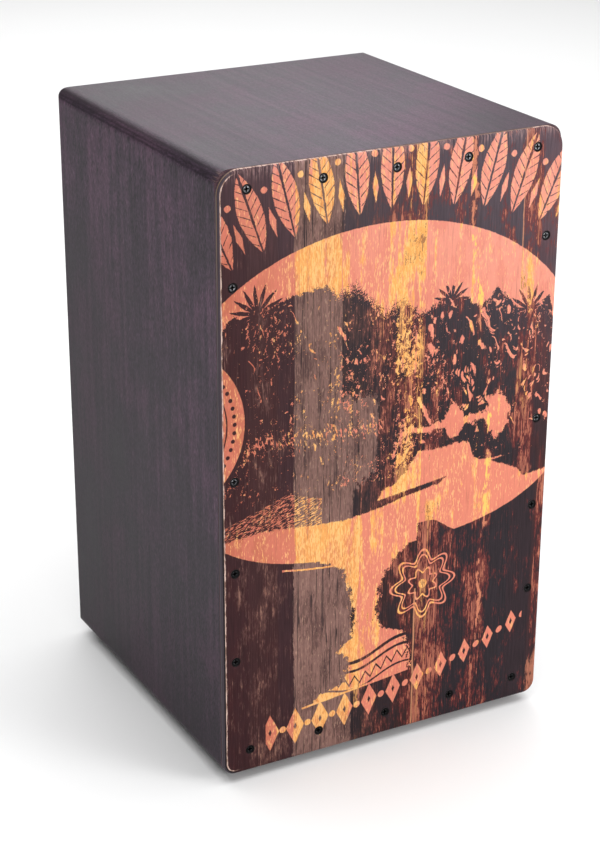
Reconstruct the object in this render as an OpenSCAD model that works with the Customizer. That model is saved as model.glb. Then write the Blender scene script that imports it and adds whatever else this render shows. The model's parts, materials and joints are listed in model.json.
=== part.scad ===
// Cajon: a box drum of thin stained plywood with a screwed-on striking board at the front, a recessed
// back panel with a round sound port, rubber feet, and a snare bar that swings its wires off the board.
// Frame: +Z up, -Y towards the listener, +X to the right of the front, origin on the floor at the centre.

/* [Body] */
// Width of the body
body_w = 300; // [280:1:320]
// Depth of the body, striking board included
body_d = 300; // [280:1:320]
// Height of the body without its feet
body_h = 500; // [480:1:520]
// Thickness of the shell's plywood
panel_t = 9; // [9:0.5:10]
// Radius of the two long edges beside the seat
top_r = 12; // [10:0.5:15]
// Radius of the two long edges at the floor
bottom_r = 11; // [10:0.5:13]
// Radius of the shell's edges around the back
rear_r = 7; // [5:0.5:9]
// Width of the fine step that leaves a dark line between shell and striking board
seam_w = 0.8; // [0.5:0.1:1.2]
// Depth of that step
seam_depth = 0.5; // [0.3:0.1:0.8]

/* [Striking board] */
// Thickness of the striking board
board_t = 3.2; // [3:0.1:4]
// Radius of its top corners
board_top_r = 18; // [15:0.5:20]
// Radius of its bottom corners
board_bottom_r = 11; // [10:0.5:14]
// Radius of the rounding around its front face
board_edge_r = 2; // [1:0.1:2.4]

/* [Screws of the striking board] */
// Pitch of the five screws along the top and the bottom edge
row_pitch = 63; // [55:1:64]
// Top row, below the top of the body
top_row_drop = 15.5; // [14:0.5:17]
// Bottom row, above the underside of the body
bottom_row_rise = 19; // [17:0.5:21]
// Side columns, in from the edge
column_inset = 12; // [12:0.5:14]
// Pitch of the positions up each side
column_pitch = 77.5; // [70:0.5:80]
// Lowest screw of each side, above the underside of the body
column_start = 101.75; // [95:0.25:105]

/* [Frame inside] */
// Width and depth of the square battens
batten = 18; // [16:1:20]
// Legs of the triangular glue strips in the long corners
strip_leg = 15; // [10:1:15]

/* [Back panel] */
// Thickness of the back panel
back_t = 4; // [3:0.5:5]
// How far the back panel sits inside the shell's rear edges
back_recess = 1; // [0:0.5:2]
// Diameter of the sound port
port_d = 115; // [100:1:125]
// Height of the port's centre above the underside of the body
port_z = 320; // [300:1:340]

/* [Feet] */
// Height of the rubber feet
foot_h = 9; // [8:0.5:12]
// Diameter of a foot where it meets the bottom panel
foot_d = 30; // [26:1:34]
// Distance of each foot's centre from the edges of the body
foot_inset = 35; // [33:1:50]

/* [Snare unit] */
// Diameter of the hardwood snare bar
bar_d = 18; // [17.5:0.5:18.5]
// Diameter of the journals at its ends
journal_d = 8; // [6:0.5:9]
// Outer diameter of one coiled snare strand
strand_d = 2.4; // [2:0.1:2.6]
// Length of a strand
strand_len = 125; // [80:1:128]
// Strands in each of the two sets
strands = 10; // [6:1:11]
// Gap between the strands and the striking board at rest
strand_gap = 0.4; // [0.3:0.1:0.6]
// Length of the lever behind the bar
lever_len = 60; // [40:1:80]

/* [Hidden] */

$fn = 64;
eps = 0.01;

// Planes of the body, from front to back
front_y = -body_d / 2;
shell_y = front_y + board_t;
rear_y = body_d / 2;
back_outer_y = rear_y - back_recess;
back_inner_y = back_outer_y - back_t;
rear_batten_y = back_inner_y - batten;

// Inside of the shell, above the underside of the body
inner_w = body_w - 2 * panel_t;
inner_h = body_h - 2 * panel_t;
panel_gap = 0.3;

// Countersunk wood screws: head radius, shank radius, length, and the clearances around them
head_r = 3.2;
shank_r = 1.75;
screw_len = 16;
tip_len = 3;
tip_r = 0.2;
head_sink = 0.85;
shank_play = 0.1;
pilot_play = 0.05;
recess_arm = 4.4;
recess_core = 2.6;
recess_w = 1.4;
recess_depth = 0.7;
recess_core_depth = 1.7;

// Screw positions on the striking board; the fourth place up each side is left free for the snare bar
row_steps = [-2, -1, 0, 1, 2];
column_steps = [0, 1, 2, 4];
bar_step = 3;
column_x = body_w / 2 - column_inset;
top_row = [for (i = row_steps) [i * row_pitch, body_h - top_row_drop]];
bottom_row = [for (i = row_steps) [i * row_pitch, bottom_row_rise]];
function column(side) = [for (i = column_steps) [side * column_x, column_start + i * column_pitch]];

// Screw positions on the back panel: three along the middle of each rear batten
back_row_x = 110;
function back_row(up) = [for (i = [-1, 0, 1]) [i * back_row_x, body_h / 2 + up * (inner_h - batten) / 2]];
function back_column(side) = [for (i = [1, 2, 3]) [side * (inner_w - batten) / 2, i * body_h / 4]];
back_places = concat(back_row(-1), back_row(1), back_column(-1), back_column(1));

// Feet, their washers and their pan-head screws
foot_taper = 2;
foot_x = body_w / 2 - foot_inset;
foot_y = body_d / 2 - foot_inset;
foot_round = 1.5;
counterbore_r = 5;
counterbore_depth = 5;
foot_shank_r = 2;
foot_screw_len = 12;
washer_r = 4.8;
washer_t = 1;
pan_r = 3.6;
pan_h = 2;

// Snare unit, measured from the bar's own axis
clip_t = 1;
flat_depth = 7;
clip_low = -4;
clip_high = 9;
strand_low = 2;
strand_pitch = 5;
set_x = 62;
clip_w = (strands - 1) * strand_pitch + 9;
bar_y = shell_y + strand_gap + strand_d + clip_t + flat_depth;
bar_z = column_start + bar_step * column_pitch;
spacer_t = 1;
spacer_r = 8;
side_play = 0.1;
bar_half = inner_w / 2 - batten - spacer_t - 3 * side_play;
journal_end = inner_w / 2 - 4;
bore_play = 0.05;
clip_screw_x = 20;
clip_screw_z = -1.5;
clip_head_r = 2.2;
clip_head_h = 1.2;
clip_shank_r = 1.25;
clip_screw_len = 8;
lever_d = 6;
lever_depth = 12;
knob_d = 18;

// Finishes
stain = [0.29, 0.27, 0.29];
raw_wood = [0.80, 0.66, 0.47];
hardwood = [0.72, 0.52, 0.33];
print_tone = [0.62, 0.36, 0.28];
black_steel = [0.08, 0.08, 0.09];
bright_steel = [0.72, 0.73, 0.75];
rubber_black = [0.06, 0.06, 0.06];
nylon = [0.88, 0.87, 0.83];

// Solid between two planes of constant y, from an outline drawn in x and z
module between_y(y0, y1) {
    translate([0, y1, 0]) rotate([90, 0, 0]) linear_extrude(y1 - y0) children();
}

// Block from corner to corner
module block(low, high) {
    translate(low) cube(high - low);
}

// Upright rectangle on x = 0 with one radius for its top corners and one for its bottom corners
module upright(w, h, rt, rb) {
    translate([-w / 2, rb]) square([w, h - rt - rb]);
    translate([-w / 2 + rb, 0]) square([w - 2 * rb, rb + eps]);
    translate([-w / 2 + rt, h - rt - eps]) square([w - 2 * rt, rt + eps]);
    for (side = [-1, 1]) {
        translate([side * (w / 2 - rb), rb]) circle(r = rb);
        translate([side * (w / 2 - rt), h - rt]) circle(r = rt);
    }
}

// Rectangle from [x0, y0] to [x1, y1] whose corners at y1 are rounded, both or only one of them
module rounded_far_side(x0, y0, x1, y1, r) {
    translate([x0, y0]) square([x1 - x0, y1 - r - y0]);
    translate([x0 + r, y0]) square([x1 - x0 - 2 * r, y1 - y0]);
    for (x = [x0 + r, x1 - r]) translate([x, y1 - r]) circle(r = r);
}

// What a corner loses around a ball of radius r at the origin; the corner points to +x, +y and +z
module corner_waste(r) {
    difference() {
        cube(r + 1);
        sphere(r = r);
    }
}

// Outside of the shell as one block: rounded long edges, softened rear edges, fine step at the front
module shell_blank() {
    translate([0, 0, foot_h]) difference() {
        intersection() {
            union() {
                between_y(shell_y + seam_w, rear_y) upright(body_w, body_h, top_r, bottom_r);
                translate([0, 0, seam_depth]) between_y(shell_y, shell_y + seam_w + eps)
                    upright(body_w - 2 * seam_depth, body_h - 2 * seam_depth,
                            top_r - seam_depth, bottom_r - seam_depth);
            }
            linear_extrude(body_h) rounded_far_side(-body_w / 2, front_y, body_w / 2, rear_y, rear_r);
            translate([-body_w / 2, 0, 0]) rotate([90, 0, 90]) linear_extrude(body_w)
                mirror([1, -1, 0]) rounded_far_side(0, front_y, body_h, rear_y, rear_r);
        }
        for (side = [0, 1], end = [0, 1])
            mirror([side, 0, 0]) translate([body_w / 2 - rear_r, rear_y - rear_r, body_h / 2])
                mirror([0, 0, end]) translate([0, 0, body_h / 2 - rear_r]) corner_waste(rear_r);
    }
}

// Tool that sinks a cross recess down from z = 0: shallow arms around a deeper core
module cross_recess() {
    for (turn = [0, 90]) rotate([0, 0, turn]) {
        translate([-recess_arm / 2, -recess_w / 2, -recess_depth])
            cube([recess_arm, recess_w, recess_depth + 1]);
        translate([-recess_core / 2, -recess_w / 2, -recess_core_depth])
            cube([recess_core, recess_w, recess_core_depth + 1]);
    }
}

// Countersunk screw along -Z: flat head at z = 0 with a cross recess, pointed tip
module countersunk_screw() {
    cone = head_r - shank_r;
    difference() {
        union() {
            translate([0, 0, -cone]) cylinder(r1 = shank_r, r2 = head_r, h = cone);
            translate([0, 0, tip_len - screw_len]) cylinder(r = shank_r, h = screw_len - tip_len - cone);
            translate([0, 0, -screw_len]) cylinder(r1 = tip_r, r2 = shank_r, h = tip_len);
        }
        cross_recess();
    }
}

// Countersink and clearance hole for that screw, from a surface at z = 0 down through a sheet
module countersink(depth) {
    mouth = head_sink + 1;
    translate([0, 0, 1 - mouth - (head_r - shank_r)])
        cylinder(r1 = shank_r + shank_play, r2 = head_r + mouth + shank_play, h = mouth + head_r - shank_r);
    translate([0, 0, -depth - 1]) cylinder(r = shank_r + shank_play, h = depth + 2);
}

// Pilot hole for that screw below a head at z = 0
module pilot() {
    translate([0, 0, -screw_len - 1]) cylinder(r = shank_r + pilot_play, h = screw_len + 1);
}

// Children at places [x, z] of the front face, with their -Z pointing into the body
module at_front(places, y) {
    for (p = places) translate([p[0], y, foot_h + p[1]]) rotate([90, 0, 0]) children();
}

// Children at places [x, z] of the back face, with their -Z pointing into the body
module at_back(places, y) {
    for (p = places) translate([p[0], y, foot_h + p[1]]) rotate([-90, 0, 0]) children();
}

// Batten as a block, less the pilot holes of the screws that enter it from one face
module front_batten(low, high, places) {
    color(raw_wood) difference() {
        block([low[0], shell_y, foot_h + low[1]], [high[0], shell_y + batten, foot_h + high[1]]);
        at_front(places, front_y + head_sink) pilot();
    }
}

module rear_batten(low, high, places) {
    color(raw_wood) difference() {
        block([low[0], rear_batten_y, foot_h + low[1]], [high[0], back_inner_y, foot_h + high[1]]);
        at_back(places, back_outer_y - head_sink) pilot();
    }
}

module seat_panel() {
    color(stain) intersection() {
        shell_blank();
        block([-body_w, front_y, foot_h + body_h - panel_t], [body_w, body_d, foot_h + body_h + 1]);
    }
}

module bottom_panel() {
    color(stain) difference() {
        intersection() {
            shell_blank();
            block([-body_w, front_y, foot_h - 1], [body_w, body_d, foot_h + panel_t]);
        }
        for (x = [-1, 1], y = [-1, 1])
            translate([x * foot_x, y * foot_y, foot_h - 1])
                cylinder(r = foot_shank_r + pilot_play, h = panel_t + 2);
    }
}

module side_panel(side) {
    inner = side * inner_w / 2;
    outer = side * body_w;
    color(stain) intersection() {
        shell_blank();
        block([min(inner, outer), front_y, foot_h + panel_t],
              [max(inner, outer), body_d, foot_h + body_h - panel_t]);
    }
}

module back_panel() {
    color(stain) difference() {
        block([-inner_w / 2 + panel_gap, back_inner_y, foot_h + panel_t + panel_gap],
              [inner_w / 2 - panel_gap, back_outer_y, foot_h + body_h - panel_t - panel_gap]);
        translate([0, back_inner_y - 1, foot_h + port_z]) rotate([-90, 0, 0])
            cylinder(d = port_d, h = back_t + 2, $fn = 128);
        at_back(back_places, back_outer_y) countersink(back_t);
    }
}

// Section of the board across its thickness, rounded where it meets the front face at y = 0
module board_section(w) {
    translate([-w / 2, board_edge_r]) square([w, board_t - board_edge_r]);
    intersection() {
        translate([-w / 2, 0]) square([w, board_t]);
        union() {
            translate([-w / 2 + board_edge_r, 0]) square([w - 2 * board_edge_r, board_t]);
            for (side = [-1, 1])
                translate([side * (w / 2 - board_edge_r), board_edge_r]) circle(r = board_edge_r);
        }
    }
}

// One rounded corner of the board, a whole disc with the same edge
module board_corner(x, z, r) {
    translate([x, front_y, z]) rotate([-90, 0, 0]) rotate_extrude() intersection() {
        board_section(2 * r);
        square([r + 1, board_t]);
    }
}

// Full-height stretch of the board between two corners of radius r
module board_middle(r) {
    translate([r - body_w / 2, front_y, foot_h + body_h / 2]) rotate([0, 90, 0])
        linear_extrude(body_w - 2 * r) board_section(body_h);
}

module striking_board() {
    low = foot_h;
    high = foot_h + body_h;
    color(print_tone) difference() {
        union() {
            translate([0, front_y, low + board_bottom_r])
                linear_extrude(body_h - board_top_r - board_bottom_r) board_section(body_w);
            board_middle(board_top_r);
            intersection() {
                board_middle(board_bottom_r);
                block([-body_w, front_y - 1, low - 1], [body_w, shell_y + 1, low + board_bottom_r + eps]);
            }
            for (side = [-1, 1]) {
                board_corner(side * (body_w / 2 - board_top_r), high - board_top_r, board_top_r);
                board_corner(side * (body_w / 2 - board_bottom_r), low + board_bottom_r, board_bottom_r);
            }
        }
        at_front(concat(top_row, bottom_row, column(-1), column(1)), front_y) countersink(board_t);
    }
}

module front_batten_top() {
    front_batten([-inner_w / 2, body_h - panel_t - batten], [inner_w / 2, body_h - panel_t], top_row);
}

module front_batten_bottom() {
    front_batten([-inner_w / 2, panel_t], [inner_w / 2, panel_t + batten], bottom_row);
}

// Side batten with the bore that the snare bar's journal turns in
module front_batten_side(side) {
    x0 = min(side * inner_w / 2, side * (inner_w / 2 - batten));
    color(raw_wood) difference() {
        front_batten([x0, panel_t + batten], [x0 + batten, body_h - panel_t - batten], column(side));
        at_bar() translate([x0 - 1, 0, 0]) rotate([0, 90, 0])
            cylinder(d = journal_d + 2 * bore_play, h = batten + 2);
    }
}

module rear_batten_row(up) {
    z = body_h / 2 + up * (inner_h - batten) / 2 - batten / 2;
    rear_batten([-inner_w / 2, z], [inner_w / 2, z + batten], back_row(up));
}

module rear_batten_side(side) {
    x0 = min(side * inner_w / 2, side * (inner_w / 2 - batten));
    rear_batten([x0, panel_t + batten], [x0 + batten, body_h - panel_t - batten], back_column(side));
}

// Triangular strip glued into one of the four long corners
module glue_strip(side, up) {
    color(raw_wood) translate([side * inner_w / 2, 0, foot_h + body_h / 2 + up * inner_h / 2])
        between_y(shell_y + batten, rear_batten_y)
            polygon([[0, 0], [-side * strip_leg, 0], [0, -up * strip_leg]]);
}

module board_screws(places) {
    color(black_steel) at_front(places, front_y + head_sink) countersunk_screw();
}

module back_panel_screws() {
    color(black_steel) at_back(back_places, back_outer_y - head_sink) countersunk_screw();
}

// Rubber foot: tapered puck with a rounded rim and a counterbored hole
module foot(x, y) {
    r = foot_d / 2;
    rim = r - foot_taper;
    color(rubber_black) translate([x * foot_x, y * foot_y, 0]) rotate_extrude() difference() {
        union() {
            polygon([[0, 0], [rim - foot_round, 0], [rim, foot_round], [r, foot_h], [0, foot_h]]);
            translate([rim - foot_round, foot_round]) circle(r = foot_round);
        }
        translate([-r, -1]) square([r + foot_shank_r + shank_play, foot_h + 2]);
        translate([-r, -1]) square([r + counterbore_r, counterbore_depth + 1]);
    }
}

module at_feet(z) {
    for (x = [-1, 1], y = [-1, 1]) translate([x * foot_x, y * foot_y, z]) children();
}

module foot_washers() {
    color(bright_steel) at_feet(counterbore_depth - washer_t) difference() {
        cylinder(r = washer_r, h = washer_t);
        translate([0, 0, -1]) cylinder(r = foot_shank_r + shank_play, h = washer_t + 2);
    }
}

// Pan-head screw: a low head with a rounded rim and a cross recess, and its shank upwards
module foot_screws() {
    color(black_steel) at_feet(counterbore_depth - washer_t) difference() {
        union() {
            cylinder(r = foot_shank_r, h = foot_screw_len);
            translate([0, 0, -pan_h / 2]) cylinder(r = pan_r, h = pan_h / 2);
            translate([0, 0, -pan_h]) cylinder(r1 = pan_r - pan_h / 2, r2 = pan_r, h = pan_h / 2);
        }
        translate([0, 0, -pan_h]) mirror([0, 0, 1]) cross_recess();
    }
}

// Children in the frame of the snare bar's axis
module at_bar() {
    translate([0, bar_y, foot_h + bar_z]) children();
}

// Places of the four clip screws along the bar
module at_clip_screws() {
    for (side = [-1, 1], i = [-1, 1])
        translate([side * set_x + i * clip_screw_x, -flat_depth - clip_t, clip_screw_z])
            rotate([90, 0, 0]) children();
}

// Round bar with journals, a flat for each clip and a hole for the lever
module snare_bar() {
    color(hardwood) at_bar() difference() {
        union() {
            translate([-bar_half, 0, 0]) rotate([0, 90, 0]) cylinder(d = bar_d, h = 2 * bar_half);
            translate([-journal_end, 0, 0]) rotate([0, 90, 0]) cylinder(d = journal_d, h = 2 * journal_end);
        }
        for (side = [-1, 1])
            translate([side * set_x - clip_w / 2 - 1, -flat_depth - bar_d, -bar_d])
                cube([clip_w + 2, bar_d, 2 * bar_d]);
        at_clip_screws() translate([0, 0, -clip_screw_len])
            cylinder(r = clip_shank_r + pilot_play, h = clip_screw_len + 1);
        translate([0, bar_d / 2 - lever_depth, 0]) rotate([-90, 0, 0])
            cylinder(d = lever_d + 2 * pilot_play, h = lever_depth + 1);
    }
}

module snare_spacer(side) {
    x = side > 0 ? bar_half + side_play : -bar_half - side_play - spacer_t;
    color(nylon) at_bar() translate([x, 0, 0]) rotate([0, 90, 0]) difference() {
        cylinder(r = spacer_r, h = spacer_t);
        translate([0, 0, -1]) cylinder(d = journal_d + 4 * side_play, h = spacer_t + 2);
    }
}

module snare_clip(side) {
    color(bright_steel) at_bar() difference() {
        translate([side * set_x - clip_w / 2, -flat_depth - clip_t, clip_low])
            cube([clip_w, clip_t, clip_high - clip_low]);
        at_clip_screws() translate([0, 0, -clip_t - 1])
            cylinder(r = clip_shank_r + shank_play, h = clip_t + 2);
    }
}

module snare_clip_screws() {
    color(bright_steel) at_bar() at_clip_screws() union() {
        translate([0, 0, -clip_screw_len]) cylinder(r = clip_shank_r, h = clip_screw_len);
        cylinder(r1 = clip_head_r, r2 = clip_head_r - 0.6, h = clip_head_h);
    }
}

// One set of strands, each a rod of the outer diameter of its coil
module snare_wires(side) {
    strand_y = -flat_depth - clip_t - strand_d / 2;
    color(bright_steel) at_bar() for (i = [0 : strands - 1])
        translate([side * set_x + (i - (strands - 1) / 2) * strand_pitch, strand_y, strand_low])
            cylinder(d = strand_d, h = strand_len, $fn = 24);
}

module snare_lever() {
    color(bright_steel) at_bar() translate([0, bar_d / 2 - lever_depth, 0]) rotate([-90, 0, 0])
        cylinder(d = lever_d, h = lever_depth + lever_len);
}

// Ball with a blind bore up to its centre for the lever
module snare_knob() {
    color(black_steel) at_bar() translate([0, bar_d / 2 + lever_len, 0]) rotate([-90, 0, 0])
        rotate_extrude() difference() {
            circle(d = knob_d);
            translate([-knob_d, -knob_d]) square([knob_d, 2 * knob_d]);
            translate([-1, -knob_d]) square([1 + lever_d / 2 + pilot_play, knob_d + pilot_play]);
        }
}

seat_panel();
bottom_panel();
side_panel(-1);  // left_side_panel
side_panel(1);  // right_side_panel
back_panel();
striking_board();
front_batten_top();
front_batten_bottom();
front_batten_side(-1);  // front_batten_left
front_batten_side(1);  // front_batten_right
rear_batten_row(1);  // rear_batten_top
rear_batten_row(-1);  // rear_batten_bottom
rear_batten_side(-1);  // rear_batten_left
rear_batten_side(1);  // rear_batten_right
glue_strip(-1, 1);  // glue_strip_top_left
glue_strip(1, 1);  // glue_strip_top_right
glue_strip(-1, -1);  // glue_strip_bottom_left
glue_strip(1, -1);  // glue_strip_bottom_right
board_screws(top_row);  // board_screws_top
board_screws(bottom_row);  // board_screws_bottom
board_screws(column(-1));  // board_screws_left
board_screws(column(1));  // board_screws_right
back_panel_screws();
foot(-1, -1);  // foot_front_left
foot(1, -1);  // foot_front_right
foot(-1, 1);  // foot_rear_left
foot(1, 1);  // foot_rear_right
foot_washers();
foot_screws();
snare_bar();
snare_spacer(-1);  // snare_spacer_left
snare_spacer(1);  // snare_spacer_right
snare_clip(-1);  // snare_clip_left
snare_clip(1);  // snare_clip_right
snare_clip_screws();
snare_wires(-1);  // snare_wires_left
snare_wires(1);  // snare_wires_right
snare_lever();
snare_knob();
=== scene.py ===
"""Looks of the cajon: procedural materials on the CAD frame, coiled snare strands, camera, studio."""

import json
import math

import bpy
import numpy as np
from mathutils import Matrix, Vector


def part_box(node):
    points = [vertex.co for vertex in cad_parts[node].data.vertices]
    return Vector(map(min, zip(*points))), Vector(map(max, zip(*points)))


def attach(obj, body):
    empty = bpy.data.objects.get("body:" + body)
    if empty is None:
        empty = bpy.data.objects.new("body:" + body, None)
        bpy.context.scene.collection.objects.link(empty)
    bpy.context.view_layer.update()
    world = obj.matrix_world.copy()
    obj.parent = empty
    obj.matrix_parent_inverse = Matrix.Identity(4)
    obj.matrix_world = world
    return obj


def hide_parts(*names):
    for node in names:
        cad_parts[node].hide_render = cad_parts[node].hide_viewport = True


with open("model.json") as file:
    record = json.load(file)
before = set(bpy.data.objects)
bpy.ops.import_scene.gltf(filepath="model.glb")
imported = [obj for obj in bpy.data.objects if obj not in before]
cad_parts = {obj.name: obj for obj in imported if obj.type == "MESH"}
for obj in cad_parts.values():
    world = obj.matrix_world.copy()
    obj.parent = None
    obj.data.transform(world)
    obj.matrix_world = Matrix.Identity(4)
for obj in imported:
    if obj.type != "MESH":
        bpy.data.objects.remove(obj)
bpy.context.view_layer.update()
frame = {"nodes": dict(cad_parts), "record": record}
nodes = frame["nodes"]
MM = 0.001

board_low, board_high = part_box("striking_board")
BODY_H = board_high.z - board_low.z
FLOOR_TO_BODY = board_low.z / MM
FRONT = board_low.y / MM
HALF_W = board_high.x / MM
INNER_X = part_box("right_side_panel")[0].x / MM
SHELL_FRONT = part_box("seat_panel")[0].y / MM
BACK_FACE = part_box("back_panel")[1].y / MM
PANEL = (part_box("seat_panel")[1].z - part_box("seat_panel")[0].z) / MM
BOARD_H = BODY_H / MM
BOARD_T = (board_high.y - board_low.y) / MM
# Radii of the striking board's top and bottom corners, as in part.scad
TOP_R = 18
BOTTOM_R = 11


# ---------------------------------------------------------------- node arithmetic
def srgb(r, g, b):
    """Linear colour of an 8-bit display colour."""
    parts = [c / 255 for c in (r, g, b)]
    return tuple(c / 12.92 if c <= 0.04045 else ((c + 0.055) / 1.055) ** 2.4 for c in parts) + (1.0,)


class Value:
    """A number in a node tree; arithmetic on it adds Math nodes."""

    def __init__(self, graph, socket):
        self.graph, self.socket = graph, socket

    def __add__(self, other):
        return self.graph.math("ADD", self, other)

    def __radd__(self, other):
        return self.graph.math("ADD", other, self)

    def __sub__(self, other):
        return self.graph.math("SUBTRACT", self, other)

    def __rsub__(self, other):
        return self.graph.math("SUBTRACT", other, self)

    def __mul__(self, other):
        return self.graph.math("MULTIPLY", self, other)

    def __rmul__(self, other):
        return self.graph.math("MULTIPLY", other, self)

    def __truediv__(self, other):
        return self.graph.math("DIVIDE", self, other)

    def __neg__(self):
        return self.graph.math("MULTIPLY", self, -1.0)

    def __abs__(self):
        return self.graph.math("ABSOLUTE", self)


class Graph:
    """One material's node tree with short calls for what the finishes need. Lengths are millimetres."""

    def __init__(self, name):
        self.material = bpy.data.materials.new(name)
        self.material.use_nodes = True
        self.tree = self.material.node_tree
        self.shader = self.tree.nodes["Principled BSDF"]
        coordinates = self.tree.nodes.new("ShaderNodeTexCoord")
        scaled = self.tree.nodes.new("ShaderNodeVectorMath")
        scaled.operation = "SCALE"
        scaled.inputs["Scale"].default_value = 1 / MM
        self.tree.links.new(coordinates.outputs["Object"], scaled.inputs[0])
        self.position = Value(self, scaled.outputs[0])
        self.x, self.y, self.z = self.split(self.position)
        self.nx, self.ny, self.nz = self.split(Value(self, coordinates.outputs["Normal"]))

    def feed(self, socket, value):
        if isinstance(value, Value):
            self.tree.links.new(value.socket, socket)
        elif socket.type == "VECTOR":
            socket.default_value = value[:3]
        else:
            socket.default_value = value

    def split(self, vector):
        node = self.tree.nodes.new("ShaderNodeSeparateXYZ")
        self.feed(node.inputs[0], vector)
        return [Value(self, out) for out in node.outputs]

    def math(self, operation, *values):
        node = self.tree.nodes.new("ShaderNodeMath")
        node.operation = operation
        for socket, value in zip(node.inputs, values):
            self.feed(socket, value)
        return Value(self, node.outputs[0])

    def vector(self, x, y, z=0.0):
        node = self.tree.nodes.new("ShaderNodeCombineXYZ")
        for socket, value in zip(node.inputs, (x, y, z)):
            self.feed(socket, value)
        return Value(self, node.outputs[0])

    def noise(self, x, y, z=0.0, detail=2.0, roughness=0.5):
        """Noise around 0.5; x, y and z are already divided by the feature's size along each axis."""
        node = self.tree.nodes.new("ShaderNodeTexNoise")
        self.feed(node.inputs["Vector"], self.vector(x, y, z))
        node.inputs["Scale"].default_value = 1.0
        node.inputs["Detail"].default_value = detail
        node.inputs["Roughness"].default_value = roughness
        return Value(self, node.outputs[0])

    def rise(self, value, low, high):
        """0 below low, 1 above high, smooth between; falls instead if low is above high."""
        node = self.tree.nodes.new("ShaderNodeMapRange")
        node.interpolation_type = "SMOOTHSTEP"
        backwards = low > high
        self.feed(node.inputs["Value"], value)
        node.inputs["From Min"].default_value, node.inputs["From Max"].default_value = sorted((low, high))
        node.inputs["To Min"].default_value = 1.0 if backwards else 0.0
        node.inputs["To Max"].default_value = 0.0 if backwards else 1.0
        return Value(self, node.outputs[0])

    def steps(self, value, stops, low, high):
        """Constant colours along value from low to high; stops is [(start, colour), ...]."""
        node = self.tree.nodes.new("ShaderNodeValToRGB")
        ramp = node.color_ramp
        ramp.interpolation = "CONSTANT"
        self.feed(node.inputs[0], (value - low) * (1 / (high - low)))
        for start, _ in stops[2:]:
            ramp.elements.new((start - low) / (high - low))
        for element, (start, colour) in zip(ramp.elements, stops):
            element.position = max(0.0, (start - low) / (high - low))
            element.color = colour
        return Value(self, node.outputs[0])

    def amounts(self, value, stops, low, high):
        """A number from 0 to 1 that keeps each stop's amount up to the next stop."""
        return self.split(self.steps(value, [(at, (k, k, k, 1)) for at, k in stops], low, high))[0]

    def profile(self, value, points, low, high):
        """A polyline of (value, height) points; the heights lie between low and high."""
        node = self.tree.nodes.new("ShaderNodeValToRGB")
        start, span = points[0][0], points[-1][0] - points[0][0]
        self.feed(node.inputs[0], (value - start) * (1 / span))
        for at, _ in points[2:]:
            node.color_ramp.elements.new((at - start) / span)
        for element, (at, height) in zip(node.color_ramp.elements, points):
            element.position = (at - start) / span
            element.color = ((height - low) / (high - low),) * 3 + (1,)
        return self.split(Value(self, node.outputs[0]))[0] * (high - low) + low

    def cells(self, x, y):
        """Distance to the nearest of one random point per unit cell, and that cell's random number."""
        node = self.tree.nodes.new("ShaderNodeTexVoronoi")
        node.voronoi_dimensions = "2D"
        node.inputs["Scale"].default_value = 1.0
        self.feed(node.inputs["Vector"], self.vector(x, y))
        return Value(self, node.outputs["Distance"]), self.split(Value(self, node.outputs["Color"]))[0]

    def mix(self, factor, a, b):
        node = self.tree.nodes.new("ShaderNodeMix")
        node.data_type = "RGBA"
        self.feed(node.inputs["Factor"], factor)
        for socket, value in zip([s for s in node.inputs if s.type == "RGBA"], (a, b)):
            self.feed(socket, value)
        return Value(self, [s for s in node.outputs if s.type == "RGBA"][0])

    def scale_colour(self, colour, factor):
        node = self.tree.nodes.new("ShaderNodeVectorMath")
        node.operation = "SCALE"
        self.feed(node.inputs[0], colour)
        self.feed(node.inputs["Scale"], factor)
        return Value(self, node.outputs[0])

    def larger(self, *values):
        total = values[0]
        for value in values[1:]:
            total = self.math("MAXIMUM", total, value)
        return total

    def smaller(self, *values):
        total = values[0]
        for value in values[1:]:
            total = self.math("MINIMUM", total, value)
        return total

    def length(self, a, b):
        return self.math("SQRT", a * a + b * b)

    def between(self, value, low, high):
        return self.smaller(value - low, high - value)

    def finish(self, colour, roughness, height=None, depth=0.1, **plain):
        """Feeds the shader. height, 0 to 1, is a bump of depth millimetres; plain are fixed sockets."""
        self.feed(self.shader.inputs["Base Color"], colour)
        self.feed(self.shader.inputs["Roughness"], roughness)
        if height is not None:
            bump = self.tree.nodes.new("ShaderNodeBump")
            bump.inputs["Strength"].default_value = 1.0
            bump.inputs["Distance"].default_value = depth * MM
            self.feed(bump.inputs["Height"], height)
            self.tree.links.new(bump.outputs[0], self.shader.inputs["Normal"])
        for socket, value in plain.items():
            self.shader.inputs[socket.replace("_", " ")].default_value = value
        return self.material


# ---------------------------------------------------------------- wood finishes
def raw_ply(g, across, along, layer):
    """Bare birch ply: face grain from across and along; layer, along the thickness, stripes the edges."""
    figure = g.noise(across / 9, along / 160, detail=4)
    pores = g.noise(across / 0.9, along / 22, detail=2)
    face = g.mix(g.rise(figure, 0.35, 0.65), srgb(214, 182, 138), srgb(193, 157, 112))
    face = g.mix(g.rise(pores, 0.55, 0.8) * 0.35, face, srgb(158, 120, 82))
    return face, g.mix(g.rise(layer, 0.35, 0.5), srgb(205, 172, 128), srgb(158, 120, 84))


def ply_layers(g, depth, count):
    """0 to 1 and back through each pair of plies, with depth from 0 to 1 through the sheet."""
    wobble = g.noise(g.x / 14, g.y / 14, g.z / 14) * 0.12
    return g.math("PINGPONG", depth * count + wobble, 1.0)


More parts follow.
